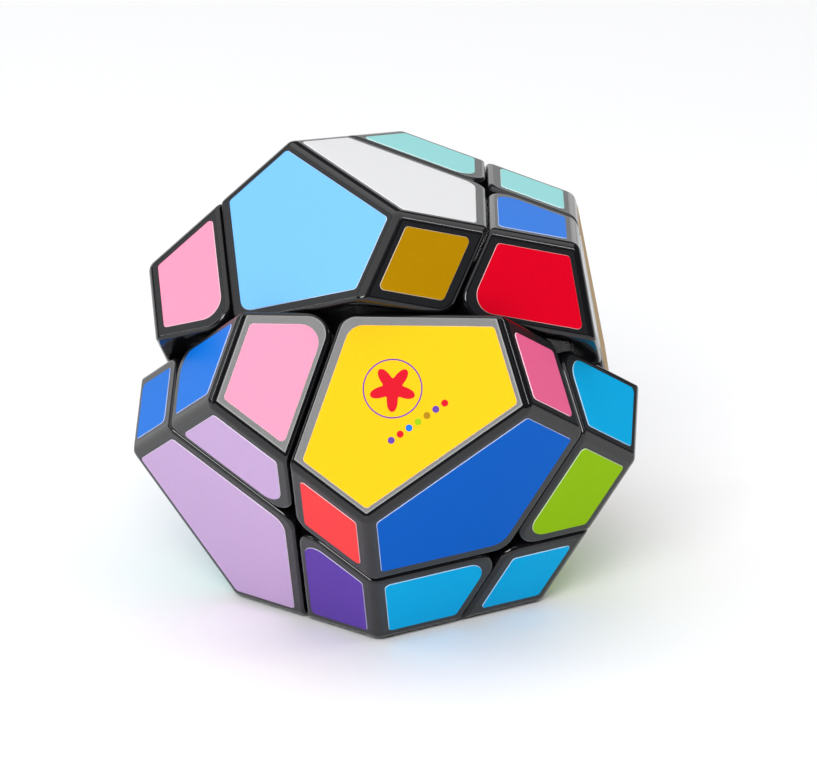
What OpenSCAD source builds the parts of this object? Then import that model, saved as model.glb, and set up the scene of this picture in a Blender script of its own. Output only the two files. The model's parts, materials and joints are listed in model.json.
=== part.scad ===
// Dodecahedron puzzle, cut by four planes that pass through its centre.
// Fourteen pieces turn on a four-armed core: six edge pieces, four corners held by
// screws, and four free corners that hook under the edge pieces. The upper half
// stands partly turned, about the screw axis that leans towards the back.

/* [Body] */
// Distance between two opposite faces
across_flats = 70; // [68:1:80]
// Angle that the upper half is turned through
turn_angle = 28; // [0:0.5:60]
// Gap between two neighbouring pieces
cut_gap = 0.3; // [0.2:0.02:0.3]
// Thickness of the shells
wall = 2; // [1.6:0.1:2.2]
// Radius of the rounded edges that meet at the middle of a face
meeting_r = 3.5; // [3:0.1:4]

/* [Stickers] */
// Distance from a large sticker to the dodecahedron's edges
large_edge_margin = 1.75; // [1.6:0.05:2.4]
// Distance from the other stickers to the dodecahedron's edges
edge_margin = 2.05; // [1.6:0.05:2.4]
// Distance from a sticker to the cuts
cut_margin = 2.15; // [1.6:0.05:2.4]
// Distance from a corner's sticker to the cut next to the large sticker
near_margin = 1.4; // [1.2:0.05:2.4]
// Thickness of a sticker
sticker_t = 0.2; // [0.15:0.05:0.3]
// Radius of a sticker's corners
sticker_r = 0.9; // [0.6:0.1:1.2]
// Radius of the sticker corner next to the middle of the face
sticker_meeting_r = 3; // [2.5:0.1:3.5]

/* [Mechanism] */
// Inner radius of the hooked feet
foot_inner_r = 20.15; // [20.1:0.05:20.4]
// Outer radius of the hooked feet
foot_outer_r = 23.35; // [23.1:0.05:23.4]
// How far a foot reaches past a cut
foot_reach = 3.4; // [2.6:0.1:3.4]
// Radius of the core's arms
arm_r = 5.5; // [4.5:0.1:5.8]
// Radius of the stems that the screws pass through
stem_r = 3; // [2.8:0.1:3]
// Radius of the screws
screw_r = 1.45; // [1.2:0.05:1.45]
// Radius of the wire of the springs
wire_r = 0.4; // [0.3:0.05:0.45]
// Turns of each spring
spring_turns = 4; // [3:1:4]

/* [Hidden] */
$fn = 96;
phi = (1 + sqrt(5)) / 2;
inradius = across_flats / 2;
// Half the side of the cube that eight of the twenty corners stand on
cube_half = inradius * norm([1, 0, phi]) / pow(phi, 2);
// Distance from the middle of a face to its corners
face_r = cube_half / phi / sin(36);
SPAN = 2 * across_flats;

// The turn axis comes first: it is the axis of the upper half
SCREW_AXES = [[1, 1, 1], [1, -1, -1], [-1, 1, -1], [-1, -1, 1]];

// Radii of the layers, outwards from the feet
layer_gap = 0.3;
plate_inner_r = foot_outer_r + layer_gap;
plate_t = 2;
cap_inner_r = plate_inner_r + plate_t + 0.05;
weld = 0.05;
groove_clear = 0.2;
rim_h = 2.3;
rim_t = 1.5;
rim_clear = 0.15;

// Screw, spring and core, measured along a screw axis
core_r = 9.5;
arm_start = 7.2;
arm_end = 18.8;
stem_start = 18.9;
bore_r = screw_r + 0.05;
screw_start = 10;
well_floor = 25;
well_r = 3.4;
well_wall = 1.4;
well_end = 34;
spring_r = 2.5;
spring_start = well_floor + 0.05;
spring_end = 31;
washer_start = spring_end + 0.05;
washer_t = 0.8;
washer_r = 3.2;
head_start = washer_start + washer_t + 0.05;
head_h = 2;
head_r = 2.8;
recess_w = 0.9;

plastic = "#1c1c1f";
pocket_clear = 0.1;
pocket_gap = 0.02;

// Sticker kinds: axis of the piece that carries it, its outline on a face whose normal is
// [1, 0, phi], and the distance from each side of that outline to the sticker
function corner(i) = face_r * [cos(72 * i), sin(72 * i)];
function middle(i, j) = (corner(i) + corner(j)) / 2;
meeting = middle(1, 4);
KINDS = [
    // Large
    [[0, 0, 1], [meeting, middle(1, 2), corner(2), corner(3), middle(3, 4)],
        [cut_margin, large_edge_margin, large_edge_margin, large_edge_margin, cut_margin]],
    // Held corner
    [[1, 1, 1], [meeting, middle(0, 1), corner(1), middle(1, 2)],
        [cut_margin, edge_margin, edge_margin, near_margin]],
    // Free corner
    [[1, -1, 1], [meeting, middle(3, 4), corner(4), middle(4, 0)],
        [near_margin, edge_margin, edge_margin, cut_margin]],
    // Point
    [[1, 0, 0], [meeting, middle(4, 0), corner(0), middle(0, 1)],
        [cut_margin, edge_margin, edge_margin, cut_margin]],
];

// Faces: half turn (as the signs of x, y and z), third turns about [1, 1, 1], and the
// colours of the large, held, free and point stickers
FACES = [
    [[1, 1, 1], 0, ["white", "mint", "blue", "mint"]],
    [[1, -1, -1], 0, ["lime", "white", "yellow", "lavender"]],
    [[-1, 1, -1], 0, ["red", "lavender", "yellow", "white"]],
    [[-1, -1, 1], 0, ["sky", "blue", "pink", "blue"]],
    [[1, 1, 1], 1, ["purple", "sky", "mint", "lime"]],
    [[1, -1, -1], 1, ["gold", "cyan", "white", "pink"]],
    [[-1, 1, -1], 1, ["mint", "sky", "gold", "sky"]],
    [[-1, -1, 1], 1, ["lavender", "lavender", "purple", "red"]],
    [[1, 1, 1], 2, ["pink", "red", "lime", "purple"]],
    [[1, -1, -1], 2, ["blue", "lime", "cyan", "cyan"]],
    [[-1, 1, -1], 2, ["cyan", "gold", "purple", "yellow"]],
    [[-1, -1, 1], 2, ["yellow", "pink", "red", "gold"]],
];

COLOURS = [
    ["white", "#eeeef0"], ["yellow", "#ffd800"], ["gold", "#b8920a"], ["red", "#e3142f"],
    ["pink", "#f59ec4"], ["lavender", "#c9acdc"], ["purple", "#5f3fa3"], ["blue", "#0a5fd0"],
    ["cyan", "#1a9fdc"], ["sky", "#86d4fb"], ["mint", "#94dad8"], ["lime", "#8cbe14"],
];
HALVES = [["lower", false], ["upper", true]];

// Every piece is made once, at its kind's home, and placed by a half turn and third turns:
// name, axis at home, and the placing. Half turns and screw axes have the same signs.
EDGE_TURNS = [[[1, 1, 1], 0], [[1, 1, 1], 1], [[1, 1, 1], 2],
              [[1, -1, -1], 0], [[-1, 1, -1], 1], [[1, -1, -1], 2]];
function piece_name(kind, i) = str(kind, "_", i + 1);
PIECES = [
    for (i = [0:5]) [piece_name("edge", i), [0, 0, 1], EDGE_TURNS[i]],
    for (i = [0:3]) [piece_name("held_corner", i), [1, 1, 1], [SCREW_AXES[i], 0]],
    for (i = [0:3]) [piece_name("free_corner", i), [-1, -1, -1], [SCREW_AXES[i], 0]],
];
function sticker_node(colour, half) = str("stickers_", colour, "_", half);

// ---- Symmetry ----

function unit(v) = v / norm(v);
function third_turned(v, n) = n == 0 ? v : third_turned([v.z, v.x, v.y], n - 1);
function placed(turns, v) =
    let (t = third_turned(v, turns[1])) [turns[0].x * t.x, turns[0].y * t.y, turns[0].z * t.z];
function is_upper(axis) = axis * SCREW_AXES[0] > 0;

// Inward normals of the cuts around a piece: every screw axis that isn't its own
function sides(axis) = [for (s = SCREW_AXES) if (abs(s * axis) < 3) s * sign(s * axis)];
// A corner's sides all meet each other, and an edge piece's sides meet their neighbours
function touching(a, b, axis) = norm(axis) > 1.5 || a * b > 0;

// Stands the part on the face opposite [1, 0, phi]
module standing()
    translate([0, 0, inradius]) rotate([0, 0, 18]) rotate([0, -atan(1 / phi), 0]) children();

// Turns what belongs to the upper half about the first screw axis
module in_half(upper)
    rotate(a = upper ? turn_angle : 0, v = SCREW_AXES[0]) children();

module place(turns)
    multmatrix([[turns[0].x, 0, 0, 0], [0, turns[0].y, 0, 0], [0, 0, turns[0].z, 0], [0, 0, 0, 1]])
        rotate(a = 120 * turns[1], v = SCREW_AXES[0]) children();

// Takes a piece from its home to where it stands in the puzzle
module in_puzzle(piece)
    in_half(is_upper(placed(piece[2], piece[1]))) place(piece[2]) children();

// Points +Z along v
module along(v) rotate([0, acos(v.z / norm(v)), atan2(v.y, v.x)]) children();

module on_face(face) {
    x = placed(face, unit([phi, 0, -1]));
    y = placed(face, [0, 1, 0]);
    z = placed(face, unit([1, 0, phi]));
    multmatrix([[x.x, y.x, z.x, 0], [x.y, y.y, z.y, 0], [x.z, y.z, z.z, 0], [0, 0, 0, 1]])
        children();
}

// ---- Basic solids ----

// Everything further along v than distance
module beyond(v, distance)
    along(v) translate([-SPAN / 2, -SPAN / 2, distance]) cube(SPAN);

module dodecahedron(r)
    intersection_for (n = [0:2], s = [-1, 1])
        along(third_turned([s, 0, phi], n)) cube([SPAN, SPAN, 2 * r], center = true);

module layer(inner_r, outer_r) difference() {
    sphere(outer_r);
    sphere(inner_r);
}

module ring(outer_r, inner_r, start, end) translate([0, 0, start]) difference() {
    cylinder(r = outer_r, h = end - start);
    translate([0, 0, -1]) cylinder(r = inner_r, h = end - start + 2);
}

// What rounding the edge between two sides takes away: the wedge outside an arc of
// radius r. The cross-section's x axis runs along the bisector of the two sides.
module edge_waste(a, b, axis, inset, r) {
    line = unit(cross(a, b)) * sign(cross(a, b) * axis);
    bisector = unit(a + b);
    across = cross(line, bisector);
    half_angle = asin(unit(a) * bisector);
    tip = inset / sin(half_angle);
    sweep = 90 - half_angle;
    centre = tip + r / sin(half_angle);
    steps = 6;
    arc = [for (i = [-steps:steps])
        let (t = sweep * i / steps) [centre - r * cos(t), r * sin(t)]];
    outside = [sin(half_angle), -cos(half_angle)];
    start = arc[0] - [outside.x, -outside.y];
    end = arc[2 * steps] - outside;
    multmatrix([[bisector.x, across.x, line.x, 0], [bisector.y, across.y, line.y, 0],
                [bisector.z, across.z, line.z, 0], [0, 0, 0, 1]])
        linear_extrude(SPAN / 2)
            polygon(concat(arc, [end, [tip - 3, 0], start]));
}

// The wedge of space that belongs to a piece
module sector(axis, inset)
    intersection_for (n = sides(axis)) beyond(n, inset);

// What rounds the long edges of a sector, where four pieces meet
module sector_waste(axis, inset, r) {
    s = sides(axis);
    for (i = [0:len(s) - 2], j = [1:len(s) - 1])
        if (i < j && touching(s[i], s[j], axis)) edge_waste(s[i], s[j], axis, inset, r);
}

// ---- Stickers ----

// Inward normal of the outline's edge from point i to the next, counter-clockwise
function inward(points, i) =
    let (e = unit(points[(i + 1) % len(points)] - points[i])) [-e.y, e.x];
// Moves every edge of an outline inwards by its margin and rounds the corners. The first
// corner is the one next to the middle of the face.
function sticker_outline(points, margins, grow) = [
    for (i = [0:len(points) - 1])
        let (last = (i + len(points) - 1) % len(points),
             before = inward(points, last),
             after = inward(points, i),
             r = (i == 0 ? sticker_meeting_r : sticker_r) + grow,
             from_before = margins[last] - grow + r,
             from_after = margins[i] - grow + r,
             slant = before * after,
             centre = points[i] + (before * (from_before - slant * from_after)
                 + after * (from_after - slant * from_before)) / (1 - slant * slant),
             from = atan2(-before.y, -before.x),
             turn = acos(slant))
        for (t = [0:0.2:1]) centre + r * [cos(from + turn * t), sin(from + turn * t)]
];

// Sticker of one kind, on a face, grown sideways and downwards for its pocket
module sticker(face, kind, grow, depth, rise)
    on_face(face) translate([0, 0, inradius - depth])
        linear_extrude(depth + rise) polygon(sticker_outline(kind[1], kind[2], grow));

module stickers(colour, upper)
    in_half(upper)
        for (face = FACES, k = [0:3])
            if (face[2][k] == colour[0] && is_upper(placed(face, KINDS[k][0])) == upper)
                color(colour[1]) sticker(face, KINDS[k], 0, sticker_t, 0);

// ---- Caps: the hollow outer shells that carry the stickers ----

module cap(axis) color(plastic) difference() {
    intersection() {
        dodecahedron(inradius);
        sector(axis, cut_gap / 2);
    }
    sphere(cap_inner_r);
    sector_waste(axis, cut_gap / 2, meeting_r);
    intersection() {
        dodecahedron(inradius - wall);
        sector(axis, cut_gap / 2 + wall);
    }
    for (face = FACES, kind = KINDS)
        if (placed(face, kind[0]) == axis)
            sticker(face, kind, pocket_clear, sticker_t + pocket_gap, 1);
}

// ---- Bases: the inner plates with the feet, necks and stems ----

// The plate closes a cap from below, and its rim sits inside the cap's walls
module plate(axis) {
    rim_inset = cut_gap / 2 + wall + rim_clear;
    intersection() {
        sector(axis, cut_gap / 2);
        layer(plate_inner_r, plate_inner_r + plate_t);
    }
    intersection() {
        difference() {
            sector(axis, rim_inset);
            sector(axis, rim_inset + rim_t);
        }
        layer(plate_inner_r + plate_t - weld, plate_inner_r + plate_t + rim_h);
    }
}

// The space between the grooves: reach past the cuts on the screwed sides, and short of
// the neighbours' feet on the others
module foot_zone(axis, reach)
    intersection_for (s = [for (a = SCREW_AXES) if (abs(a * axis) < 3) a])
        beyond(s * sign(s * axis), s * axis > 0 ? -reach : foot_reach + groove_clear);

module hooked_base(axis) {
    plate(axis);
    intersection() {
        foot_zone(axis, -cut_gap / 2);
        layer(foot_outer_r - weld, plate_inner_r + weld);
    }
    intersection() {
        foot_zone(axis, foot_reach);
        layer(foot_inner_r, foot_outer_r);
    }
}

// The stem runs on the core's arm, and the well holds the spring
module held_base(axis) difference() {
    union() {
        plate(axis);
        along(axis) translate([0, 0, stem_start]) cylinder(r = stem_r, h = well_floor - stem_start);
        along(axis) translate([0, 0, plate_inner_r + weld])
            cylinder(r = well_r + well_wall, h = well_end - plate_inner_r - weld);
    }
    along(axis) cylinder(r = bore_r, h = well_end);
    along(axis) translate([0, 0, well_floor]) cylinder(r = well_r, h = well_end);
}

module base(axis) color(plastic)
    if (axis == SCREW_AXES[0]) held_base(axis);
    else hooked_base(axis);

// ---- Core, screws, springs and washers ----

module core() color("#26262a") difference() {
    union() {
        along(SCREW_AXES[0]) sphere(core_r);
        for (axis = SCREW_AXES)
            along(axis) translate([0, 0, arm_start]) cylinder(r = arm_r, h = arm_end - arm_start);
    }
    for (axis = SCREW_AXES)
        along(axis) translate([0, 0, screw_start - 1]) cylinder(r = bore_r, h = arm_end);
}

module screw(axis) color("silver") along(axis) difference() {
    union() {
        translate([0, 0, screw_start]) cylinder(r = screw_r, h = head_start - screw_start + 1);
        translate([0, 0, head_start]) cylinder(r = head_r, h = head_h);
    }
    for (a = [0, 90])
        rotate([0, 0, a]) translate([-head_r / 1.6, -recess_w / 2, head_start + head_h / 2])
            cube([head_r * 1.25, recess_w, head_h]);
}

// Wire swept along a helix: rings of points, each in the plane across the wire
module spring() {
    ring_sides = 6;
    rings = 12 * spring_turns;
    rise = spring_end - spring_start - 2 * wire_r;
    points = [for (i = [0:rings], j = [0:ring_sides - 1])
        let (a = 30 * i, b = 360 / ring_sides * j, r = spring_r + wire_r * cos(b))
        [r * cos(a), r * sin(a), spring_start + wire_r + rise * i / rings + wire_r * sin(b)]];
    side_faces = [for (i = [0:rings - 1], j = [0:ring_sides - 1])
        let (k = (j + 1) % ring_sides, p = i * ring_sides, q = p + ring_sides)
        each [[p + j, p + k, q + k], [p + j, q + k, q + j]]];
    first = [for (j = [ring_sides - 1:-1:0]) j];
    last = [for (j = [0:ring_sides - 1]) rings * ring_sides + j];
    polyhedron(points, concat(side_faces, [first, last]));
}

module springs() color("silver") for (axis = SCREW_AXES) along(axis) spring();

module washers() color("gainsboro")
    for (axis = SCREW_AXES)
        along(axis) ring(washer_r, screw_r + 0.15, washer_start, washer_start + washer_t);

// ---- Assembly ----

standing() {
    for (p = PIECES) {
        in_puzzle(p) cap(p[1]);
        in_puzzle(p) base(p[1]);
    }
    core();
    for (i = [0:3])
        screw(SCREW_AXES[i]);
    springs();
    washers();
    for (c = COLOURS, h = HALVES)
        stickers(c, h[1]);
}
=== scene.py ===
import json
import math
import bpy
import numpy as np
from mathutils import Matrix


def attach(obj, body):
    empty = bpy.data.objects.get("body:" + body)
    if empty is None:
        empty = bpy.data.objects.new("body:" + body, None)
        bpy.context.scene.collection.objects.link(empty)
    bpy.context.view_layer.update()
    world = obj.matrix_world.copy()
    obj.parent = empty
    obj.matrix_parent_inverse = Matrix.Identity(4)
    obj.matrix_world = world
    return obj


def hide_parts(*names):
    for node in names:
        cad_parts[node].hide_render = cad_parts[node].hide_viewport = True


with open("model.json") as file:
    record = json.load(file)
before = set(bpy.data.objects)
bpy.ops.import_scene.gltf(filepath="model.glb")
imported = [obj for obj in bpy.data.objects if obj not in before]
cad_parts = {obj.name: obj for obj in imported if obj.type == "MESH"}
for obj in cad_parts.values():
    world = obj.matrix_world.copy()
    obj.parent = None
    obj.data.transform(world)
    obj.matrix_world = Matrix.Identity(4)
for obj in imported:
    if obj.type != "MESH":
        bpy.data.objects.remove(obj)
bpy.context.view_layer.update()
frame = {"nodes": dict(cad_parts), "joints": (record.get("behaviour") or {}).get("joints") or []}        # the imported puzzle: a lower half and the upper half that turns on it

# ---- Caps ----
# Fourteen hollow shells, moulded in black ABS: six edge pieces and eight corner pieces. They
# make a dodecahedron of 70 mm between faces, standing on one of them. Four cuts go through
# its centre, each square to a screw axis, and the upper half is turned about the first axis.

MM = 0.001
PHI = (1 + math.sqrt(5)) / 2
INRADIUS = frame["joints"][0]["pos_m"][2]    # 35 mm, from the centre to each face
TURN_ANGLE = math.radians(28)                # how far the upper half has been turned

FACE_NORMALS = np.array([np.roll([s, 0, t * PHI], n)
                         for n in range(3) for s in (-1, 1) for t in (-1, 1)]) / math.hypot(1, PHI)
# Signs of the half turns about x, y and z that carry one piece or face to its likes
HALF_TURNS = ((1, 1, 1), (1, -1, -1), (-1, 1, -1), (-1, -1, 1))


def unit(v):
    """v divided by its length, along the last axis."""
    v = np.asarray(v, float)
    return v / np.linalg.norm(v, axis=-1, keepdims=True)


def turning(axis, angle):
    """Rotation matrix about axis: cos(angle) on the plane across it, 1 along it."""
    x, y, z = unit(axis)
    cross = np.array([[0, -z, y], [z, 0, -x], [-y, x, 0]])
    return np.eye(3) + math.sin(angle) * cross + (1 - math.cos(angle)) * cross @ cross


# The turn that stands the puzzle on a face, and the height of its centre
STANDING = turning((0, 0, 1), math.radians(18)) @ turning((0, 1, 0), -math.atan(1 / PHI))
CENTRE = np.array([0, 0, INRADIUS])


def placed(signs, thirds, v):
    """v after thirds third turns about (1, 1, 1), and then the half turn with these signs."""
    return np.asarray(signs) * np.roll(v, thirds, axis=-1)


def is_upper(axis):
    """Whether a piece whose axis this is lies on the upper side of the first cut."""
    return float(np.sum(axis)) > 0


def in_puzzle(points, upper):
    """Points of the closed puzzle, moved to where their half stands in the frame."""
    turned = turning((1, 1, 1), TURN_ANGLE if upper else 0)
    return points @ (STANDING @ turned).T + CENTRE


FILM_T = 0.12 * MM                           # thickness of the stickers on the caps
SHELL_RISE = INRADIUS - FILM_T               # from the centre to a cap's outer faces
CUT_INSET = 0.15 * MM                        # from a cut to the cap's side
MEETING_R = 3.5 * MM                         # of the corners where four caps meet
CAP_INNER_R = 25.7 * MM                      # of the sphere that the bases turn in
RIDGE_R = 2.0 * MM                           # of the dodecahedron's own edges
RIDGE_WIDTH = RIDGE_R / PHI                  # PHI is the tangent of half the faces' angle
RIM_WIDTH = 0.8 * MM                         # of the edges along the cuts
BEVEL_SEGMENTS = 6
ARC_STEPS = 10
SIDE_STEPS = 14
DOME_RINGS = 8
GRAIN_DETAIL = 3                             # octaves of noise in every grain

# Axis of each kind of piece, and the normals of the cuts round it, before it is placed
HOMES = {
    "edge": ((0, 0, 1), ((1, 1, 1), (-1, 1, 1), (-1, -1, 1), (1, -1, 1))),
    "held_corner": ((1, 1, 1), ((-1, 1, 1), (1, -1, 1), (1, 1, -1))),
    "free_corner": ((-1, -1, -1), ((-1, -1, 1), (-1, 1, -1), (1, -1, -1))),
}
# Half turn and third turns that place each piece of a kind, in the order of their numbers
EDGE_TURNS = ((HALF_TURNS[0], 0), (HALF_TURNS[0], 1), (HALF_TURNS[0], 2),
              (HALF_TURNS[1], 0), (HALF_TURNS[2], 1), (HALF_TURNS[1], 2))
PLACINGS = {
    "edge": EDGE_TURNS,
    "held_corner": tuple((signs, 0) for signs in HALF_TURNS),
    "free_corner": tuple((signs, 0) for signs in HALF_TURNS),
}


def side_feet(normals, arcs):
    """Points along the foot of each side, from the arc before it to its own arc. They lie on
    the circle where the side's plane cuts the inner sphere."""
    t = np.linspace(0, 1, SIDE_STEPS + 1)[1:-1, None]
    chord = np.roll(arcs[:, -1:], 1, axis=0) * (1 - t) + arcs[:, :1] * t
    middle = CUT_INSET * normals[:, None]
    return middle + math.sqrt(CAP_INNER_R ** 2 - CUT_INSET ** 2) * unit(chord - middle)


def dome(foot, axis):
    """Rings that close a cap's inner side: each point of the foot drawn towards the piece's
    axis in equal parts, and pushed back out to the inner sphere. The last point is on the axis."""
    t = np.linspace(0, 1, DOME_RINGS + 1)[1:-1, None, None]
    rings = CAP_INNER_R * unit(foot * (1 - t) + CAP_INNER_R * unit(axis) * t)
    return np.concatenate([rings.reshape(-1, 3), CAP_INNER_R * unit(axis)[None]])


def cap_outline(sides):
    """Points of a cap at home. Two neighbouring sides meet along a line through the middle of
    a face, and an arc of radius MEETING_R joins them, carried along that line from the inner
    sphere to the face. Each side crosses one edge of the dodecahedron, between two faces."""
    first, second = unit(sides), unit(np.roll(sides, -1, axis=0))
    line = unit(np.cross(first, second))
    bisector = unit(first + second)
    across = np.cross(line, bisector)
    half = np.arcsin(np.sum(first * bisector, axis=1))[:, None]
    sweep = math.pi / 2 - half
    t = sweep * np.linspace(1, -1, ARC_STEPS + 1)
    u = (CUT_INSET + MEETING_R) / np.sin(half) - MEETING_R * np.cos(t)
    v = MEETING_R * np.sin(t)
    section = u[..., None] * bisector[:, None] + v[..., None] * across[:, None]
    faces = FACE_NORMALS[np.argmax(line @ FACE_NORMALS.T, axis=1)]
    slope = np.sum(line * faces, axis=1)[:, None]
    rise = (SHELL_RISE - np.sum(section * faces[:, None], axis=2)) / slope
    outer = section + rise[..., None] * line[:, None]
    inner = section + np.sqrt(CAP_INNER_R ** 2 - u ** 2 - v ** 2)[..., None] * line[:, None]
    planes = np.stack([np.roll(faces, 1, axis=0), faces, first], axis=1)
    distances = np.tile([[SHELL_RISE], [SHELL_RISE], [CUT_INSET]], (len(first), 1, 1))
    crossings = np.linalg.solve(planes, distances)[..., 0]
    return faces, outer, crossings, np.concatenate([side_feet(first, inner), inner], axis=1)


def cap_corners(faces):
    """Corners of the dodecahedron on a cap: one where a corner's three faces meet, or the two
    ends of an edge piece's ridge."""
    triples = [faces] if len(faces) == 3 else [faces[[3, 0, 1]], faces[[1, 2, 3]]]
    return np.array([np.linalg.solve(t, np.full(3, SHELL_RISE)) for t in triples])


def cap_mesh(name, points, polygons, rim_points, corner_points):
    """Mesh of a cap, with a bevel weight of 1 on the ridges, which end in the corners, the last
    points, and a smaller one round the outer faces, whose points come first. A rounding of
    radius r takes r over the tangent of half the angle between the faces from each side."""
    mesh = bpy.data.meshes.new(name)
    mesh.from_pydata(points, [], polygons)
    ends = np.empty(len(mesh.edges) * 2, np.int32)
    mesh.edges.foreach_get("vertices", ends)
    ends = ends.reshape(-1, 2)
    ridge = (ends >= len(points) - corner_points).any(axis=1)
    rim = (ends < rim_points).all(axis=1)
    weight = np.where(ridge, 1.0, np.where(rim, RIM_WIDTH / RIDGE_WIDTH, 0.0))
    mesh.attributes.new("bevel_weight_edge", "FLOAT", "EDGE").data.foreach_set("value", weight)
    return mesh


def new_material(name):
    """An empty node material and its Principled shader."""
    material = bpy.data.materials.new(name)
    material.use_nodes = True
    return material, material.node_tree.nodes["Principled BSDF"]


def add_grain(material, shader, size, height, roughness, spread):
    """Noise of one grain size, in metres, as bump of this height and as roughness on either
    side of a middle value."""
    nodes, links = material.node_tree.nodes, material.node_tree.links
    place = nodes.new("ShaderNodeTexCoord")
    noise = nodes.new("ShaderNodeTexNoise")
    noise.inputs["Scale"].default_value = 1 / size
    noise.inputs["Detail"].default_value = GRAIN_DETAIL
    links.new(place.outputs["Object"], noise.inputs["Vector"])
    bump = nodes.new("ShaderNodeBump")
    bump.inputs["Distance"].default_value = height
    links.new(noise.outputs["Fac"], bump.inputs["Height"])
    links.new(bump.outputs["Normal"], shader.inputs["Normal"])
    levels = nodes.new("ShaderNodeMapRange")
    levels.inputs["To Min"].default_value = roughness - spread
    levels.inputs["To Max"].default_value = roughness + spread
    links.new(noise.outputs["Fac"], levels.inputs["Value"])
    links.new(levels.outputs["Result"], shader.inputs["Roughness"])
    return noise


def plastic(name, colour, grain, height, roughness, spread):
    """Black plastic with a grain."""
    material, shader = new_material(name)
    shader.inputs["Base Color"].default_value = (*colour, 1)
    add_grain(material, shader, grain, height, roughness, spread)
    return material


# The outer faces come satin from a spark eroded mould, and the rest comes polished
SATIN = plastic("satin black faces", (0.005, 0.0055, 0.007), 0.25 * MM, 0.006 * MM, 0.32, 0.08)
POLISHED = plastic("polished black edges", (0.004, 0.004, 0.005), 1.5 * MM, 0.0008 * MM, 0.12, 0.03)


def make_cap(kind, number, signs, thirds):
    """One cap: outer faces, sides, corner strips and a domed inner side, placed in the puzzle,
    with its edges rounded, riding on its half."""
    axis, sides = HOMES[kind]
    faces, outer, crossings, foot = cap_outline(np.array(sides, float))
    corners = cap_corners(faces)
    m, n = outer.shape[:2]
    arc = np.arange(m * n).reshape(m, n)
    crossing = m * n + np.arange(m)
    low = m * n + m + np.arange(foot.size // 3).reshape(m, -1)
    below = low[:, SIDE_STEPS - 1:]
    rings = m * n + m + np.arange(DOME_RINGS * low.size).reshape(DOME_RINGS, -1)
    middle = rings.max() + 1
    corner = middle + 1 + np.arange(len(corners))
    nxt = np.roll(np.arange(m), -1)
    tops = {3: ([0], [0], [0]), 4: ([0], [1, 0], [1], [0, 1])}[m]
    polygons = [[crossing[i], *arc[i], crossing[nxt[i]], *corner[tops[i]]] for i in range(m)]
    polygons += [[arc[i, 0], crossing[i], arc[i - 1, -1], low[i - 1, -1], *low[i, :SIDE_STEPS]]
                 for i in range(m)]
    strips = np.stack([arc[:, 1:], arc[:, :-1], below[:, :-1], below[:, 1:]], axis=2)
    ahead = np.roll(rings, -1, axis=1)
    domed = np.stack([ahead[:-1], rings[:-1], rings[1:], ahead[1:]], axis=2)
    fan = np.stack([ahead[-1], rings[-1], np.full(low.size, middle)], axis=1)
    polygons += strips.reshape(-1, 4).tolist() + domed.reshape(-1, 4).tolist() + fan.tolist()
    points = np.concatenate([outer.reshape(-1, 3), crossings, foot.reshape(-1, 3),
                             dome(foot.reshape(-1, 3), axis), corners])
    upper = is_upper(placed(signs, thirds, np.array(axis)))
    points = in_puzzle(placed(signs, thirds, points), upper)
    name = f"{kind}_{number}"
    polygons = [[int(i) for i in p] for p in polygons]
    mesh = cap_mesh(name, points.tolist(), polygons, m * n + m, len(corners))
    mesh.materials.append(SATIN)
    mesh.materials.append(POLISHED)
    mesh.polygons.foreach_set("material_index", [0] * m + [1] * (len(polygons) - m))
    mesh.shade_smooth()
    cap = bpy.data.objects.new(f"shell_{name}", mesh)
    bpy.context.scene.collection.objects.link(cap)
    bevel = cap.modifiers.new("rounded edges", "BEVEL")
    bevel.limit_method = "WEIGHT"
    bevel.width = RIDGE_WIDTH
    bevel.segments = BEVEL_SEGMENTS
    bevel.use_clamp_overlap = False
    bevel.harden_normals = True
    bevel.material = 1
    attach(cap, "upper_half" if upper else "lower_half")
    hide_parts(f"cap_{name}")


for kind, placings in PLACINGS.items():
    for number, (signs, thirds) in enumerate(placings, 1):
        make_cap(kind, number, signs, thirds)

# ---- Stickers ----
# Die-cut vinyl, four to a face: one large five-sided sticker, one at each of two corners and
# a rhombus at a third. The film is coloured and its cut edge shows a paler line.

CUBE_HALF = INRADIUS * math.hypot(1, PHI) / PHI ** 2          # of the cube on eight corners
FACE_RADIUS = CUBE_HALF / PHI / math.sin(math.radians(36))    # from a face's middle to a corner
LARGE_EDGE_MARGIN = 1.75 * MM                # bare plastic from a large sticker to an edge
EDGE_MARGIN = 2.05 * MM                      # and from a small one
CUT_MARGIN = 2.15 * MM                       # from a sticker to a cut
NEAR_MARGIN = 1.4 * MM                       # from a corner sticker to the large one's cut
FILM_SINK = 0.05 * MM                        # how deep a sticker's bottom sits in the plastic
STICKER_SLOPE = 0.10 * MM                    # how far its cut edge leans in
STICKER_R = 0.8 * MM
STICKER_MEETING_R = 3.0 * MM                 # of the corner at the middle of the face
CORNER_STEPS = 8
FILM_TINT = (0.92, 1.07)                     # least and most of its colour over a film
FILM_LEAST = 0.001                           # added where the colour is strongest
FILM_GLOSS = 0.04
EDGE_COLOUR, EDGE_WHITE = 0.55, 0.4          # parts of the film's colour and of white

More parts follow.
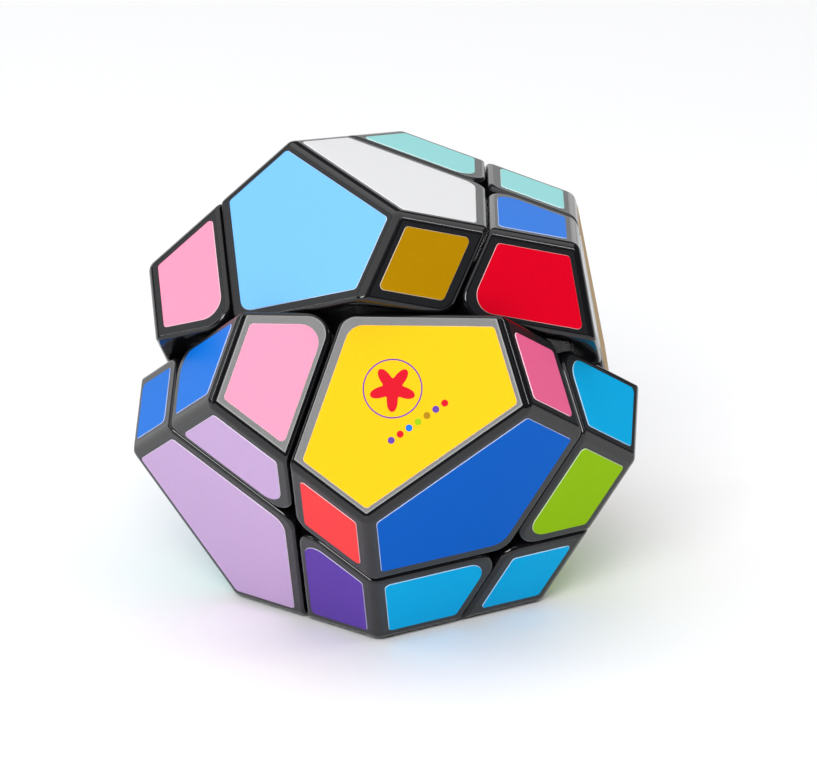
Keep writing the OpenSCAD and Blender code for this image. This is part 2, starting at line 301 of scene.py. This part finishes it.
# Colours of the large, held corner, free corner and rhombus stickers of each face, which is
# the face with normal (1, 0, PHI) after third turns about (1, 1, 1) and a half turn
FACE_COLOURS = {
    (HALF_TURNS[0], 0): ("white", "mint", "blue", "mint"),
    (HALF_TURNS[1], 0): ("lime", "white", "yellow", "lavender"),
    (HALF_TURNS[2], 0): ("red", "lavender", "yellow", "white"),
    (HALF_TURNS[3], 0): ("sky", "blue", "pink", "blue"),
    (HALF_TURNS[0], 1): ("purple", "sky", "mint", "lime"),
    (HALF_TURNS[1], 1): ("gold", "cyan", "white", "pink"),
    (HALF_TURNS[2], 1): ("mint", "sky", "gold", "sky"),
    (HALF_TURNS[3], 1): ("lavender", "lavender", "purple", "red"),
    (HALF_TURNS[0], 2): ("pink", "red", "lime", "purple"),
    (HALF_TURNS[1], 2): ("blue", "lime", "cyan", "cyan"),
    (HALF_TURNS[2], 2): ("cyan", "gold", "purple", "yellow"),
    (HALF_TURNS[3], 2): ("yellow", "pink", "red", "gold"),
}
VINYL = {
    "white": (0.70, 0.70, 0.71), "yellow": (0.92, 0.48, 0.000), "gold": (0.37, 0.19, 0.000),
    "red": (0.60, 0.000, 0.013), "pink": (0.86, 0.275, 0.41), "lavender": (0.525, 0.365, 0.61),
    "purple": (0.107, 0.047, 0.35), "blue": (0.000, 0.157, 0.66), "cyan": (0.000, 0.385, 0.74),
    "sky": (0.165, 0.46, 0.87), "mint": (0.26, 0.61, 0.61), "lime": (0.265, 0.49, 0.000),
}
# Three stickers are a shade off the others of their colour: by face and sticker
SHADES = {
    "deep pink": (0.78, 0.125, 0.275), "pale red": (0.84, 0.05, 0.055), "deep blue": (0.0, 0.105, 0.52),
}
OFF_SHADES = {
    (HALF_TURNS[1], 1, 3): "deep pink",
    (HALF_TURNS[3], 1, 3): "pale red",
    (HALF_TURNS[1], 2, 0): "deep blue",
}


def vinyl(name, colour):
    """Satin vinyl: its colour varies a little over the film, with a fine grain."""
    material, shader = new_material(f"{name} vinyl")
    noise = add_grain(material, shader, 0.3 * MM, 0.003 * MM, 0.38, 0.05)
    nodes, links = material.node_tree.nodes, material.node_tree.links
    tint = nodes.new("ShaderNodeMix")
    tint.data_type = "RGBA"
    tint.inputs["A"].default_value = (*(FILM_TINT[0] * c for c in colour), 1)
    tint.inputs["B"].default_value = (*(min(1, FILM_TINT[1] * c + FILM_LEAST) for c in colour), 1)
    links.new(noise.outputs["Fac"], tint.inputs["Factor"])
    links.new(tint.outputs["Result"], shader.inputs["Base Color"])
    shader.inputs["Specular IOR Level"].default_value = FILM_GLOSS
    return material


def cut_edge(name, colour):
    """The film's edge, where the colour thins out to white."""
    material, shader = new_material(f"{name} cut edge")
    shader.inputs["Base Color"].default_value = (*(EDGE_COLOUR * c + EDGE_WHITE for c in colour), 1)
    add_grain(material, shader, 0.2 * MM, 0.002 * MM, 0.55, 0.05)
    return material


def face_corner(i):
    """Corner i of the face, at 72 degrees times i from its x axis."""
    return FACE_RADIUS * np.array([math.cos(i * math.tau / 5), math.sin(i * math.tau / 5)])


def middle(i, j):
    """The point halfway between two corners of the face."""
    return (face_corner(i) + face_corner(j)) / 2


MEETING = middle(1, 4)
# The piece that each sticker of a face is on, the sticker's outline, from the point where
# four pieces meet, and the margin on each of its sides
STICKER_KINDS = (
    ((0, 0, 1), (MEETING, middle(1, 2), face_corner(2), face_corner(3), middle(3, 4)),
     (CUT_MARGIN, LARGE_EDGE_MARGIN, LARGE_EDGE_MARGIN, LARGE_EDGE_MARGIN, CUT_MARGIN)),
    ((1, 1, 1), (MEETING, middle(0, 1), face_corner(1), middle(1, 2)),
     (CUT_MARGIN, EDGE_MARGIN, EDGE_MARGIN, NEAR_MARGIN)),
    ((1, -1, 1), (MEETING, middle(3, 4), face_corner(4), middle(4, 0)),
     (NEAR_MARGIN, EDGE_MARGIN, EDGE_MARGIN, CUT_MARGIN)),
    ((1, 0, 0), (MEETING, middle(4, 0), face_corner(0), middle(0, 1)),
     (CUT_MARGIN, EDGE_MARGIN, EDGE_MARGIN, CUT_MARGIN)),
)
RHOMBUS = 3


def sticker_outline(points, margins, meeting_r, back):
    """The outline with every side moved inwards by its margin and back, and an arc at each
    corner. The arc's centre is that distance and the radius away from both sides there."""
    points, margins = np.array(points), np.array(margins)
    sides = unit(np.roll(points, -1, axis=0) - points)
    after = np.stack([-sides[:, 1], sides[:, 0]], axis=1)
    before = np.roll(after, 1, axis=0)
    slant = np.sum(before * after, axis=1)
    radius = np.full(len(points), STICKER_R - back)
    radius[0] = meeting_r - back
    from_after = margins + back + radius
    from_before = np.roll(margins, 1) + back + radius
    along_before = (from_before - slant * from_after) / (1 - slant ** 2)
    along_after = (from_after - slant * from_before) / (1 - slant ** 2)
    centre = points + before * along_before[:, None] + after * along_after[:, None]
    start = np.arctan2(-before[:, 1], -before[:, 0])[:, None]
    angle = start + np.arccos(slant)[:, None] * np.linspace(0, 1, CORNER_STEPS + 1)
    arc = radius[:, None, None] * np.stack([np.cos(angle), np.sin(angle)], axis=2)
    return (centre[:, None] + arc).reshape(-1, 2)


def on_face(points, height, signs, thirds):
    """Points of a face's plane, at a height above it, in the closed puzzle."""
    x, y, z = unit([PHI, 0, -1]), np.array([0, 1, 0]), unit([1, 0, PHI])
    flat = points[:, :1] * x + points[:, 1:] * y + (INRADIUS + height) * z
    return placed(signs, thirds, flat)


def sticker_shape(kind, signs, thirds, upper):
    """One sticker: a bottom just inside the plastic, a sloping cut edge, and the flat film."""
    _, outline, margins = STICKER_KINDS[kind]
    meeting_r = STICKER_R if kind == RHOMBUS else STICKER_MEETING_R
    bottom = sticker_outline(outline, margins, meeting_r, 0)
    top = sticker_outline(outline, margins, meeting_r, STICKER_SLOPE)
    low = on_face(bottom, -FILM_T - FILM_SINK, signs, thirds)
    high = on_face(top, 0, signs, thirds)
    n = len(low)
    i = np.arange(n)
    j = np.roll(i, -1)
    rim = np.stack([i, j, n + j, n + i], axis=1)
    points = in_puzzle(np.concatenate([low, high]), upper)
    return points, rim.tolist() + [list(range(n, 2 * n)), list(range(n - 1, -1, -1))]


def make_stickers(colour, upper):
    """Every sticker of one colour on one half, as one piece."""
    half = "upper" if upper else "lower"
    mesh = bpy.data.meshes.new(f"{colour}_{half}")
    slots = [CUT_EDGES[colour]]
    points, polygons, finishes = [], [], []
    for (signs, thirds), colours in FACE_COLOURS.items():
        for kind, own in enumerate(colours):
            axis = np.array(STICKER_KINDS[kind][0])
            if own != colour or is_upper(placed(signs, thirds, axis)) != upper:
                continue
            shape, faces = sticker_shape(kind, signs, thirds, upper)
            start = sum(len(p) for p in points)
            film = FILMS[OFF_SHADES.get((signs, thirds, kind), colour)]
            if film not in slots:
                slots.append(film)
            polygons += [[start + i for i in face] for face in faces]
            finishes += [0] * (len(faces) - 2) + [slots.index(film)] * 2
            points.append(shape)
    mesh.from_pydata(np.concatenate(points).tolist(), [], polygons)
    for material in slots:
        mesh.materials.append(material)
    mesh.polygons.foreach_set("material_index", finishes)
    piece = bpy.data.objects.new(f"vinyl_{colour}_{half}", mesh)
    bpy.context.scene.collection.objects.link(piece)
    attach(piece, f"{half}_half")
    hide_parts(f"stickers_{colour}_{half}")


FILMS = {name: vinyl(name, colour) for name, colour in (VINYL | SHADES).items()}
CUT_EDGES = {name: cut_edge(name, colour) for name, colour in VINYL.items()}
for colour in VINYL:
    for upper in (False, True):
        make_stickers(colour, upper)

# ---- Printed mark ----
# A plain mark is screen printed on the large yellow sticker at the front: a red rosette of
# five petals in a thin ring, and a row of dots below it. The ink lies on top of the film.

MARK_FACE = (HALF_TURNS[3], 2)
MARK_MIDDLE = np.array([-6.6, 0.3]) * MM     # of the ring, from the middle of the face
ROSETTE_R = 3.7 * MM
PETALS = 5
PETAL_DEPTH = 0.28                           # half the difference of petal and gap, as a part
RING_R = 4.5 * MM
RING_W = 0.22 * MM
DOT_R = 0.55 * MM
DOT_PITCH = 1.7 * MM
DOT_ROW = -13.2 * MM                         # where the row crosses the face's x axis
DOT_INKS = ("red", "purple", "gold", "lime", "blue", "red", "purple")
INK_T = 0.02 * MM
INK_STEPS = 90
DOT_STEPS = 24


def circle(centre, radius, steps):
    """Points of a circle, or of a closed polar curve where radius has a value per step."""
    angle = np.arange(steps) * math.tau / steps
    return centre + np.stack([radius * np.cos(angle), radius * np.sin(angle)], axis=1)


def ink_patch(outline):
    """A flat printed patch: its outline just inside the film and again on top, closed."""
    n = len(outline)
    i = np.arange(n)
    j = np.roll(i, -1)
    sides = np.stack([i, j, n + j, n + i], axis=1).tolist()
    points = np.concatenate([on_face(outline, h, *MARK_FACE) for h in (-INK_T, INK_T)])
    return points, sides + [list(range(n, 2 * n)), list(range(n - 1, -1, -1))]


def ink_ring(centre, radius, width):
    """A printed ring: two circles, each inside the film and on top, joined round and closed."""
    rims = [circle(centre, r, INK_STEPS) for r in (radius, radius + width)]
    corners = ((0, -INK_T), (1, -INK_T), (1, INK_T), (0, INK_T))
    points = np.concatenate([on_face(rims[k], h, *MARK_FACE) for k, h in corners])
    i = np.arange(INK_STEPS)
    j = np.roll(i, -1)
    loops = [(k * INK_STEPS, (k + 1) % 4 * INK_STEPS) for k in range(4)]
    bands = [np.stack([a + i, a + j, b + j, b + i], axis=1) for a, b in loops]
    return points, np.concatenate(bands).tolist()


# The rosette's radius swings between its largest at the petals and its least between them
wave = np.cos(PETALS * np.arange(INK_STEPS) * math.tau / INK_STEPS)
rosette = circle(MARK_MIDDLE, ROSETTE_R * (1 - PETAL_DEPTH + PETAL_DEPTH * wave), INK_STEPS)
shapes = [("red", ink_patch(rosette)), ("purple", ink_ring(MARK_MIDDLE, RING_R, RING_W))]
for k, ink in enumerate(DOT_INKS):
    dot = np.array([DOT_ROW, (k - (len(DOT_INKS) - 1) / 2) * DOT_PITCH])
    shapes.append((ink, ink_patch(circle(dot, DOT_R, DOT_STEPS))))
inks = sorted({ink for ink, _ in shapes})
mark_points, mark_polygons, mark_inks = [], [], []
for ink, (points, polygons) in shapes:
    start = sum(len(p) for p in mark_points)
    mark_points.append(points)
    mark_polygons += [[start + i for i in polygon] for polygon in polygons]
    mark_inks += [inks.index(ink)] * len(polygons)
mark_mesh = bpy.data.meshes.new("printed_mark")
mark_mesh.from_pydata(in_puzzle(np.concatenate(mark_points), False).tolist(), [], mark_polygons)
for ink in inks:
    mark_mesh.materials.append(FILMS[ink])
mark_mesh.polygons.foreach_set("material_index", mark_inks)
mark = bpy.data.objects.new("printed_mark", mark_mesh)
bpy.context.scene.collection.objects.link(mark)
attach(mark, "lower_half")

# ---- Bases, core, screws, springs and washers ----
# The inner parts stay as they are built. The bases and the core are plain black mouldings,
# and the screws, springs and washers are zinc-plated steel.

INNER = plastic("inner black plastic", (0.016, 0.016, 0.018), 0.6 * MM, 0.01 * MM, 0.42, 0.08)
steel, steel_shader = new_material("zinc plated steel")
steel_shader.inputs["Base Color"].default_value = (0.55, 0.55, 0.57, 1)
steel_shader.inputs["Metallic"].default_value = 1
add_grain(steel, steel_shader, 0.5 * MM, 0.004 * MM, 0.3, 0.08)
for name, node in frame["nodes"].items():
    if name.startswith(("cap_", "stickers_")):
        continue
    finish = INNER if name.startswith(("base_", "core")) else steel
    node.data.materials.clear()
    node.data.materials.append(finish)

# ---- Floor, light and camera ----
# A pale sweep under a softbox in front and above, an overhead diffuser, a diffuser on the
# left, narrow strips that draw lines of light along the rounded edges, and a wall behind.

FLOOR_SIZE = 8
bpy.ops.mesh.primitive_plane_add(size=FLOOR_SIZE, location=(0, 0, -FILM_SINK))
floor = bpy.context.object
floor.name = "floor"
paper, paper_shader = new_material("pale paper sweep")
paper_shader.inputs["Base Color"].default_value = (0.90, 0.90, 0.905, 1)
add_grain(paper, paper_shader, 2 * MM, 0.01 * MM, 0.6, 0.05)
floor.data.materials.append(paper)


def soft_light(name, direction, distance, width, height, radiance):
    """A rectangular diffuser at this distance from the puzzle, facing it. Its power is its
    radiance times its area times pi."""
    light = bpy.data.lights.new(name, "AREA")
    light.shape = "RECTANGLE"
    light.size = width
    light.size_y = height
    light.energy = radiance * width * height * math.pi
    lamp = bpy.data.objects.new(name, light)
    bpy.context.scene.collection.objects.link(lamp)
    lamp.location = CENTRE + unit(direction) * distance
    lamp.rotation_euler = lamp.location.to_track_quat("Z", "Y").to_euler()
    lamp.visible_camera = False


soft_light("front softbox", (-0.08, -0.83, 0.55), 1.3, 0.66, 0.5, 12.0)
soft_light("ceiling diffuser", (0, 0, 1), 1.5, 2.6, 2.6, 1.3)
soft_light("left diffuser", (-0.85, 0.05, 0.5), 1.4, 1.0, 0.9, 0.75)
soft_light("right strip", (0.8, -0.15, 0.62), 1.4, 0.07, 0.7, 14.0)
soft_light("left strip", (-0.86, -0.13, 0.49), 1.4, 0.045, 0.7, 14.0)
soft_light("low left strip", (-0.88, -0.42, 0.2), 1.4, 0.12, 0.7, 4.0)
soft_light("back wall", (-0.35, 0.93, 0.12), 1.5, 2.2, 0.9, 1.1)

world = bpy.data.worlds.new("studio")
world.use_nodes = True
world.node_tree.nodes["Background"].inputs["Color"].default_value = (0.9, 0.93, 1.0, 1)
world.node_tree.nodes["Background"].inputs["Strength"].default_value = 0.09
bpy.context.scene.world = world
bpy.context.scene.view_settings.view_transform = "Standard"

# The camera looks past the puzzle's centre, from this far and this much to one side
AZIMUTH = math.radians(5.18)
ELEVATION = math.radians(19.45)
ROLL = math.radians(-0.91)
DISTANCE = 908.8 * MM
SIDEWAYS = -3.09 * MM
LENS = 245.6
SENSOR_WIDTH = 36

level = np.array([math.sin(AZIMUTH), -math.cos(AZIMUTH), 0])
back = math.cos(ELEVATION) * level + math.sin(ELEVATION) * np.array([0, 0, 1])
right = np.array([math.cos(AZIMUTH), math.sin(AZIMUTH), 0])
up = np.cross(back, right)
turned_right = math.cos(ROLL) * right + math.sin(ROLL) * up
turned_up = math.cos(ROLL) * up - math.sin(ROLL) * right
place = CENTRE + back * DISTANCE - turned_right * SIDEWAYS
matrix = np.eye(4)
matrix[:3, :3] = np.stack([turned_right, turned_up, back], axis=1)
matrix[:3, 3] = place
camera_data = bpy.data.cameras.new("camera")
camera_data.sensor_width = SENSOR_WIDTH
camera_data.lens = LENS
camera = bpy.data.objects.new("camera", camera_data)
camera.matrix_world = Matrix(matrix)
bpy.context.scene.collection.objects.link(camera)
bpy.context.scene.camera = camera
